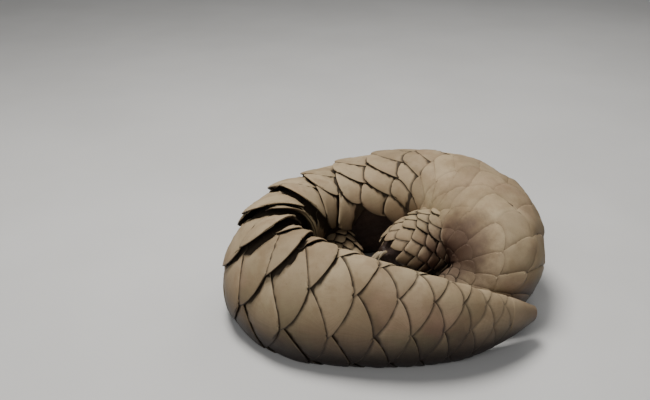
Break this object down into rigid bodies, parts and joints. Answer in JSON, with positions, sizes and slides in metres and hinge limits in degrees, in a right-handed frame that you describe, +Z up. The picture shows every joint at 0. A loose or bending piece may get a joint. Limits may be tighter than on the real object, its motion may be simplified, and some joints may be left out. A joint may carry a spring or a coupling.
{
  "type": "curled pangolin",
  "caption": "Life-size scaly anteater lying on its side, curled in a ring with the broad scaled tail wrapped round its front.",
  "frame": {"origin": "centre of the bounding box's base, on the floor the animal lies on", "axes": "+Z up, -Y towards the wrapped tail (the side the picture shows), +X towards the shoulders, along the ring's longer way"},
  "size_m": [0.4449, 0.3907, 0.1779],
  "materials": {
    "scales": "satin",
    "skin": "matte",
    "feet": "matte",
    "eye": "gloss"
  },
  "bodies": {
    "root": {"head": "scales", "ear_r": "skin", "ear_l": "skin", "eye_r": "eye", "eye_l": "eye", "neck": "scales", "shoulder": "scales", "chest": "scales", "trunk": "scales", "loin": "scales", "rump": "scales", "tail_root": "scales", "tail_fore": "scales", "tail_mid": "scales", "tail_end": "scales", "leg_fore_r": "scales", "foot_fore_r": "feet", "leg_fore_l": "scales", "foot_fore_l": "feet", "leg_hind_r": "scales", "foot_hind_r": "feet", "leg_hind_l": "scales", "foot_hind_l": "feet"}
  },
  "joints": []
}
